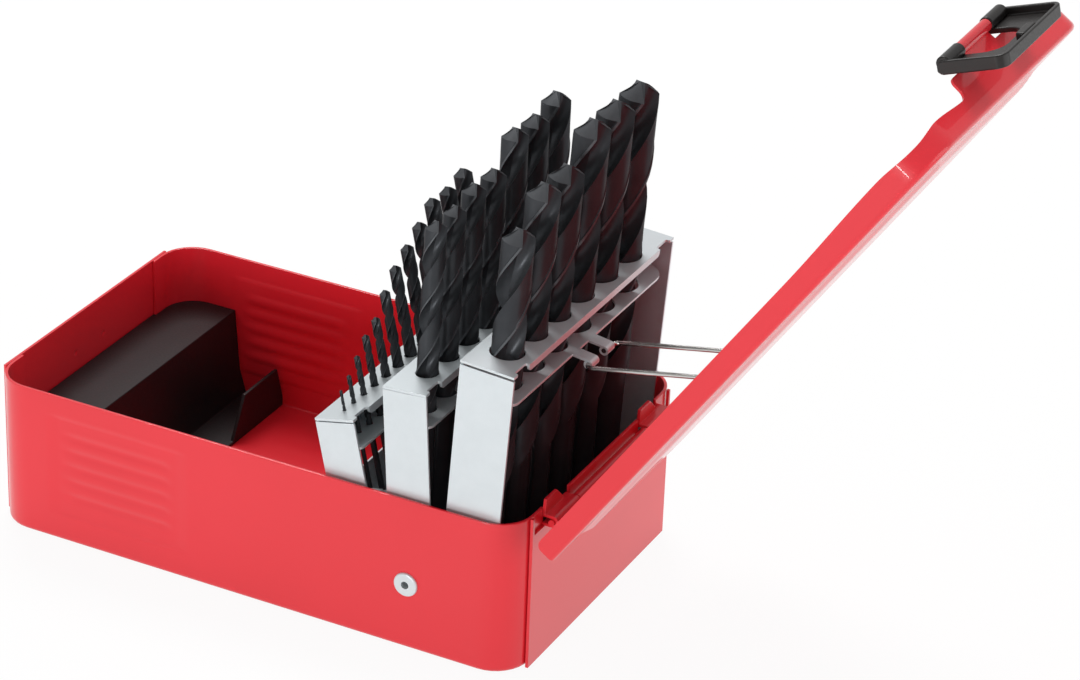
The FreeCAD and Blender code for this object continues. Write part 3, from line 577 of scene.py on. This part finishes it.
def claspStations():
    # from one head to the other round the loop: outer line, inner side of the wall, window
    look = claspLook
    turns = [math.radians(90 * step / look["turnSteps"]) for step in range(look["turnSteps"] + 1)]
    reach = look["halfWidth"] - look["corner"]
    drop = look["length"] - look["corner"]
    inner = look["corner"] - look["wall"]
    window = look["windowHalfWidth"] - look["windowCorner"]
    windowDrop = look["windowLength"] - look["windowCorner"]
    half = [((look["halfWidth"], z), (look["halfWidth"] - look["wall"], z), (look["windowHalfWidth"], z))
            for z in look["head"]]
    for turn in turns:
        y, z = math.cos(turn), -math.sin(turn)
        half.append(((reach + look["corner"] * y, -drop + look["corner"] * z),
                     (reach + inner * y, -drop + inner * z),
                     (window + look["windowCorner"] * y, -windowDrop + look["windowCorner"] * z)))
    return half + [tuple((-y, z) for y, z in station) for station in reversed(half)]


def claspLevel(name, z):
    # how far from the pin's plane a side of the loop lies, at a height
    look = claspLook
    start, end = look[name]
    if z > 0:
        middle = (look["back"][0] + look["rim"][0]) / 2
        return middle + (start - middle) * math.sqrt(1 - (z / look["headRound"]) ** 2)
    return start + (end - start) * min(1.0, -z / look["length"])


def makeClasp():
    look = claspLook
    bm = bmesh.new()
    edges = []
    for outer, inner, window in claspStations():
        corners = (("back", outer), ("rim", outer), ("rim", inner), ("floor", inner), ("floor", window),
                   ("back", window))
        section = [(claspLevel(name, z), y, z) for name, (y, z) in corners]
        if not edges:
            ring = [bm.verts.new(place) for place in section]
            edges = [bm.edges.new((ring[i - 1], ring[i])) for i in range(len(ring))]
            first = edges
        else:
            drawn = bmesh.ops.extrude_edge_only(bm, edges=edges)["geom"]
            fresh = vertsOf(drawn)
            edges = [edge for edge in edgesOf(drawn) if all(vertex in fresh for vertex in edge.verts)]
            for vertex in fresh:
                near = next(edge.other_vert(vertex) for edge in vertex.link_edges if edge not in edges)
                vertex.co = section[ring.index(near)]
            ring = [min(fresh, key=lambda vertex: (vertex.co - Vector(place)).length) for place in section]
    for loop in (first, edges):
        bmesh.ops.contextual_create(bm, geom=loop)
    # the beams on the pin, and the hook in the middle of the free end
    for side in (-1, 1):
        reach = look["halfWidth"] - look["wall"] / 2 - look["windowHalfWidth"]
        middle = side * (look["windowHalfWidth"] + reach / 2)
        bmesh.ops.create_cone(bm, cap_ends=True, segments=look["beamSides"], radius1=look["beamRadius"],
                              radius2=look["beamRadius"], depth=reach,
                              matrix=Matrix.Translation((0, middle, 0)) @ alongY)
    hookHalf, hookLength = look["hook"]
    low, high = look["floor"][0], look["rim"][1]
    size = Matrix.Diagonal((high - low, 2 * hookHalf, hookLength, 1))
    place = Matrix.Translation(((low + high) / 2, 0, -look["length"] + look["wall"] + hookLength / 2))
    bmesh.ops.create_cube(bm, size=1.0, matrix=place @ size)
    bmesh.ops.recalc_face_normals(bm, faces=bm.faces)
    lid, clasp = jointNamed("lid_hinge"), jointNamed("clasp_hinge")
    turn = math.radians(lid["range_deg"][1] + clasp["range_deg"][1])
    opened = Matrix.Translation(clasp["pos_m"]) @ Matrix.Rotation(turn, 4, "Y")
    bmesh.ops.transform(bm, matrix=opened, verts=bm.verts)
    pinRadius, pinHalf = look["pin"]
    pinBar = bmesh.new()
    bmesh.ops.create_cone(pinBar, cap_ends=True, segments=look["pinSides"], radius1=pinRadius,
                          radius2=pinRadius, depth=2 * pinHalf, matrix=opened @ alongY)
    addPiece("clasp_pin_wire", pinBar, "clasp_pin", [wireSteel])
    piece = addPiece("clasp_moulding", bm, "clasp", [claspPlastic])
    rounded(piece, look["edge"], look["edgeSteps"], look["edgeAngle"])


makeClasp()
print("clasp moulded")


# Lid: a shallow pressed pan whose edge waves where the corners gather the sheet

lidLook = {
    "sheet": 0.0008,
    "far": -0.0984,                    # drawn shut: the free end, the hinge end and the top
    "near": 0.0936,
    "top": 0.057,
    "halfWidth": 0.05755,
    "corner": 0.0128,
    "cornerSteps": 14,
    "bend": 0.0017,
    "bendSteps": 4,
    "columns": 60,
    "flangeRows": 6,
    "flange": 0.007,
    "tab": (0.0234, 0.0135),           # half width and depth
    "tabRounds": (0.003, 0.0022),      # at its root and at its corners
    "endRound": 0.0026,                # of the flanges beside the hinge
    "roundSteps": 5,
    "strip": (0.01, 0.0179),           # half width and depth of the tongue that the barrel is rolled from
    # along the rim from where the corner starts: crest, reach before and after it, and depth
    "waves": [(-0.006, 0.045, 0.0146, 0.0009), (0.0205, 0.011, 0.02, 0.0011)],
    "field": (0.0394, 0.011),          # half width, and distance from the free end
    "fieldRise": 0.0013,
    "fieldSlope": 0.008,
    "slopeSteps": 6,
    "leaf": (-0.0235, 0.0243),         # from and to, along the hinge
    "leafLine": [(0.0936, 0.0578), (0.09885, 0.052), (0.09885, 0.0484)],
    "knuckle": 0.00185,
    "barrel": 0.00186,
    "tubeSides": 32,
    "hair": 0.0001,                    # two cuts this far apart make a clean step
    "edge": 0.0002,
    "edgeSteps": 2,
    "edgeAngle": 60.0,
    "sharpAngle": 40.0,
}


def lidDepth(x, y):
    # how deep the flange hangs at a place on the rim
    look = lidLook
    coreX, coreY = look["far"] + look["corner"], look["halfWidth"] - look["corner"]
    if x > coreX:
        along = coreX - x
    elif abs(y) < coreY:
        along = look["corner"] * math.pi / 2 + coreY - abs(y)
    else:
        along = look["corner"] * math.atan2(coreX - x, abs(y) - coreY)
    depth = look["flange"]
    for place, before, after, deeper in look["waves"]:
        away = (along - place) / (after if along > place else before)
        if abs(away) < 1:
            depth += deeper * (0.5 + 0.5 * math.cos(math.pi * away))
    over = x - look["near"] + look["endRound"]
    if over > 0:
        depth -= look["endRound"] - math.sqrt(max(0.0, look["endRound"] ** 2 - over ** 2))
    if x < coreX - look["corner"] / 2:
        half, full = look["tab"]
        root, tip = look["tabRounds"]
        outside = abs(y) - half
        if 0 < outside < root:
            depth += root - math.sqrt(root ** 2 - (root - outside) ** 2)
        elif outside <= 0:
            depth = full - tip + math.sqrt(tip ** 2 - max(0.0, tip + outside) ** 2)
        if abs(y) < look["strip"][0]:
            depth = look["strip"][1]
    return depth


def leastX(edge):
    return min(vertex.co.x for vertex in edge.verts)


def tube(bm, radius, y0, y1, x, z):
    lying = Matrix.Translation((x, y0, z)) @ alongY
    ring = bmesh.ops.create_circle(bm, segments=lidLook["tubeSides"], radius=radius, matrix=lying)["verts"]
    edges = list({edge for vertex in ring for edge in vertex.link_edges})
    drawn = bmesh.ops.extrude_edge_only(bm, edges=edges)["geom"]
    bmesh.ops.translate(bm, vec=(0, y1 - y0, 0), verts=vertsOf(drawn))
    faces = facesOf(drawn)
    bmesh.ops.recalc_face_normals(bm, faces=faces)
    bmesh.ops.solidify(bm, geom=faces, thickness=lidLook["sheet"])


def makeLid():
    look = lidLook
    far, near, half, bend, corner = (look[key] for key in ("far", "near", "halfWidth", "bend", "corner"))
    top, sheet, hair = look["top"], look["sheet"], look["hair"]
    bm = bmesh.new()
    grid = bmesh.ops.create_grid(bm, x_segments=1, y_segments=1, size=0.5)["verts"]
    bmesh.ops.scale(bm, vec=(near - far - bend, 2 * (half - bend), 1), verts=grid)
    bmesh.ops.translate(bm, vec=((near + far + bend) / 2, 0, top), verts=grid)
    bmesh.ops.bevel(bm, geom=[vertex for vertex in bm.verts if vertex.co.x < 0], offset=corner - bend,
                    offset_type="OFFSET", segments=look["cornerSteps"], profile=0.5, affect="VERTICES",
                    material=-1)
    longEdges = [edge for edge in bm.edges if edge.calc_length() > half and leastX(edge) < near - bend]
    bmesh.ops.subdivide_edges(bm, edges=longEdges, cuts=look["columns"] - 1)
    # cuts for the strip, the tab's rounds, the round ends of the flanges and the slopes of the field
    tabHalf = look["tab"][0]
    root, tip = look["tabRounds"]
    stripHalf, stripDepth = look["strip"]
    columns = [stripHalf, stripHalf - hair]
    for step in range(look["roundSteps"] + 1):
        spread = 1 - math.cos(math.radians(90 * step / look["roundSteps"]))
        columns += [tabHalf + hair + root * spread, tabHalf - tip * spread]
    for column in columns:
        for side in (-1, 1):
            cutAt(bm, (0, side * column, 0), (0, 1, 0))
    for step in range(1, look["roundSteps"]):
        back = look["endRound"] * (1 - math.sin(math.radians(90 * step / look["roundSteps"])))
        cutAt(bm, (near - back, 0, 0), (1, 0, 0))
    fieldHalf, fieldEnd = look["field"]
    fieldX = far + fieldEnd
    for step in range(look["slopeSteps"] + 1):
        inset = look["fieldSlope"] * step / look["slopeSteps"]
        cutAt(bm, (fieldX + inset, 0, 0), (1, 0, 0))
        cutAt(bm, (0, fieldHalf - inset, 0), (0, 1, 0))
        cutAt(bm, (0, inset - fieldHalf, 0), (0, 1, 0))
    rim = [edge for edge in bm.edges if edge.is_boundary and leastX(edge) < near - hair]
    for vertex in bm.verts:
        inside = min(vertex.co.x - fieldX, fieldHalf - abs(vertex.co.y)) / look["fieldSlope"]
        vertex.co.z += look["fieldRise"] * eased(inside)
    # the flange: a bend, then rows down to the waving edge; the hinge side has none
    core = (far + corner, math.inf, corner - half, half - corner)
    for step in range(1, look["bendSteps"] + 1):
        angle = math.radians(90 * step / look["bendSteps"])
        height = top - bend + bend * math.cos(angle)
        rim = drawnRim(bm, rim, core, corner - bend + bend * math.sin(angle), lambda x, y: height)
    for row in range(1, look["flangeRows"] + 1):
        share = row / look["flangeRows"]
        rim = drawnRim(bm, rim, core, corner, lambda x, y: top - bend - (lidDepth(x, y) - bend) * share)
    pan = bm.faces[:]
    bmesh.ops.recalc_face_normals(bm, faces=pan)
    if max(pan, key=lambda face: face.calc_area()).normal.z < 0:
        bmesh.ops.reverse_faces(bm, faces=pan)
    # the leaf that runs from the pan down to the knuckle
    leafStart, leafEnd = look["leaf"]
    line = [bm.verts.new((x, leafStart, z)) for x, z in look["leafLine"]]
    leafEdges = [bm.edges.new(pair) for pair in zip(line, line[1:])]
    drawn = bmesh.ops.extrude_edge_only(bm, edges=leafEdges)["geom"]
    leaf = facesOf(drawn)
    bmesh.ops.translate(bm, vec=(0, leafEnd - leafStart, 0), verts=vertsOf(drawn))
    if leaf[0].normal.z < 0:
        bmesh.ops.reverse_faces(bm, faces=leaf)
    bmesh.ops.solidify(bm, geom=pan + leaf, thickness=sheet)
    hinge = jointNamed("lid_hinge")
    tube(bm, look["knuckle"], leafStart, leafEnd, hinge["pos_m"][0], hinge["pos_m"][2])
    tube(bm, look["barrel"], -stripHalf, stripHalf, far + sheet - look["barrel"], top - stripDepth)
    # drawn shut, so it is turned open about the hinge pin
    turn = Matrix.Rotation(math.radians(hinge["range_deg"][1]), 4, "Y")
    pin = Matrix.Translation(hinge["pos_m"])
    bmesh.ops.transform(bm, matrix=pin @ turn @ pin.inverted(), verts=bm.verts)
    piece = addPiece("lid_shell_sheet", bm, "lid_shell", [redPaint], look["sharpAngle"])
    rounded(piece, look["edge"], look["edgeSteps"], look["edgeAngle"])


makeLid()
print("lid pressed")


# Sheet and moulded pieces whose cut edges are broken

softLook = {
    "weld": 0.000002,
    "flatAngle": 1.5,                  # faces that meet at less than this become one
    "edgeSteps": 2,
    "edgeAngle": 40.0,
}

softEdges = {
    "tray_hinge_end": 0.0002, "tray_latch_end": 0.0002, "latch_catch": 0.0002,
    "lid_link_strap": 0.0001, "tip_guard": 0.0003,
    "small_rack_frame": 0.00016, "mid_rack_frame": 0.00016, "large_rack_frame": 0.00016,
    "small_rack_holder": 0.00016, "mid_rack_holder": 0.00016, "large_rack_holder": 0.00016,
}

holderLook = {
    "sheet": 0.0008,
    "lip": 0.0024,                     # from the plate's top to the lip's lower edge
    "reliefs": (0.0015, 0.0105),       # from the end of the plate
    "reliefReach": 0.003,              # from the front edge
    "reliefRound": 0.00068,
    "lipRound": 0.0014,
    "roundSteps": 5,
    "slack": 0.0002,
    "straight": 0.98,                  # an edge follows a direction when this share of its length does
    "shelf": (0.009, 0.0125),          # depths of the large rack's shelf under the plate's top
    "shelfGap": 0.0008,                # from the plate's end to the shelf's
    "shelfCorner": (0.0052, 0.0056),   # how far the small corner reaches across and along
    "shelfShort": 0.0014,
    "shelfGrow": 1.65,
}


def roundHolder(bm, isLarge):
    # the reliefs beside the lip are soft curves, and the lip's ends are rounded
    look = holderLook
    plate = max(bm.faces, key=lambda face: face.calc_area() if face.normal.z > 0.5 else 0.0)
    up = plate.normal.copy()
    across = Vector((up.z, 0, -up.x))
    top = max(up.dot(vertex.co) for vertex in bm.verts)
    end = max(vertex.co.y for vertex in bm.verts)
    front = max(across.dot(vertex.co) for vertex in bm.verts if up.dot(vertex.co) > top - look["sheet"] / 2)
    uprights, lipEnds = [], []
    for edge in bm.edges:
        first, second = (vertex.co for vertex in edge.verts)
        middle = (first + second) / 2
        deep = top - up.dot(middle)
        if front - across.dot(middle) > look["reliefReach"] or deep > look["lip"] + look["slack"]:
            continue
        if not look["reliefs"][0] < end - abs(middle.y) < look["reliefs"][1]:
            continue
        straight = look["straight"] * (first - second).length
        if abs(up.dot(first - second)) > straight:
            uprights.append(edge)
        elif abs(across.dot(first - second)) > straight and deep > look["lip"] - look["slack"]:
            lipEnds.append(edge)
    for edges, width in ((lipEnds, look["lipRound"]), (uprights, look["reliefRound"])):
        live = [edge for edge in edges if edge.is_valid]
        bmesh.ops.bevel(bm, geom=live, offset=width, offset_type="OFFSET", segments=look["roundSteps"],
                        profile=0.5, affect="EDGES", material=-1)
    if not isLarge:
        return
    # the large rack's shelf stops short of the back leg in a wider corner
    reachIn, reachAlong = look["shelfCorner"]
    for vertex in bm.verts:
        deep = top - up.dot(vertex.co)
        inward = front - across.dot(vertex.co)
        short = end - look["shelfGap"] - vertex.co.y
        if look["shelf"][0] < deep < look["shelf"][1] and inward < reachIn and short < reachAlong:
            vertex.co -= across * inward * (look["shelfGrow"] - 1)
            vertex.co.y -= look["shelfShort"] + short * (look["shelfGrow"] - 1)


def soften(node, width):
    look = softLook
    bm = bmesh.new()
    bm.from_mesh(nodes[node].data)
    bmesh.ops.remove_doubles(bm, verts=bm.verts, dist=look["weld"])
    bmesh.ops.dissolve_limit(bm, angle_limit=math.radians(look["flatAngle"]), verts=bm.verts, edges=bm.edges)
    if node.endswith("_holder"):
        roundHolder(bm, node == "large_rack_holder")
    piece = addPiece(node + "_finish", bm, node, [finishOf(node)])
    rounded(piece, width, look["edgeSteps"], look["edgeAngle"])


for node, width in softEdges.items():
    soften(node, width)
print("edges broken:", len(softEdges))

remade = {"tray_body", "clasp", "clasp_pin", "lid_shell", *softEdges, *drillNodes}
for node, thing in nodes.items():
    if node not in remade:
        thing.data.materials.clear()
        thing.data.materials.append(finishOf(node))
print("nodes painted")


# Floor, light and camera

stageLook = {
    "floorSize": 6.0,
    "floorDrop": 0.0005,          # keeps the floor clear of the case's underside
    "floorColour": colour(250, 250, 250),
    "floorRoughness": 0.9,
    "floorGlow": 0.93,            # share of plain white that the camera sees in the floor
    "worldStrength": 0.56,
    # place, size and power
    "lamps": {
        "key": ((-0.1, -1.5, 0.08), 0.4, 9.2),
        "fill": ((1.6, 0.1, 0.16), 1.6, 10.0),
        "top": ((-0.42, 0.52, 1.2), 0.6, 9.5),
    },
    "lampAim": (0, 0, 0.05),
    "cameraPlace": (0.52378, -0.91538, 0.62686),
    "cameraTurn": (62.0407, -1.9718, 27.3443),
    "lens": 125.638,
    "sensor": 36.0,
}


def makeFloor():
    bpy.ops.mesh.primitive_plane_add(size=stageLook["floorSize"], location=(0, 0, -stageLook["floorDrop"]))
    floor = bpy.context.object
    floor.name = "floor"
    g = newFinish("pale floor")
    g.set(Base_Color=stageLook["floorColour"], Roughness=stageLook["floorRoughness"])
    rays = g.node("ShaderNodeLightPath")
    seen = rays.part("Is Camera Ray").maths("MAXIMUM", rays.part("Is Glossy Ray"))
    glow = g.node("ShaderNodeEmission", None, {"Color": white, "Strength": 1.0})
    g.cover(seen * stageLook["floorGlow"], glow)
    floor.data.materials.append(g.owner)


def makeWorld():
    # the camera sees plain white, and the object gets a softer light
    world = bpy.data.worlds.new("studio")
    bpy.context.scene.world = world
    g = Graph(world, "Background", "World Output")
    g.set(Color=white, Strength=stageLook["worldStrength"])
    seen = g.node("ShaderNodeBackground", None, {"Color": white, "Strength": 1.0})
    g.cover(g.node("ShaderNodeLightPath").part("Is Camera Ray"), seen)


def makeLamp(name, place, size, power):
    data = bpy.data.lights.new(name, "AREA")
    data.shape = "DISK"
    data.size = size
    data.energy = power
    lamp = bpy.data.objects.new(name, data)
    bpy.context.collection.objects.link(lamp)
    lamp.location = place
    lamp.rotation_euler = (Vector(stageLook["lampAim"]) - Vector(place)).to_track_quat("-Z", "Y").to_euler()


def makeCamera():
    data = bpy.data.cameras.new("camera")
    data.sensor_width = stageLook["sensor"]
    data.lens = stageLook["lens"]
    camera = bpy.data.objects.new("camera", data)
    bpy.context.collection.objects.link(camera)
    camera.location = stageLook["cameraPlace"]
    camera.rotation_euler = Euler([math.radians(angle) for angle in stageLook["cameraTurn"]], "XYZ")
    bpy.context.scene.camera = camera


makeFloor()
makeWorld()
for name, lamp in stageLook["lamps"].items():
    makeLamp(name, *lamp)
makeCamera()
bpy.context.scene.view_settings.view_transform = "Standard"
print("stage set")
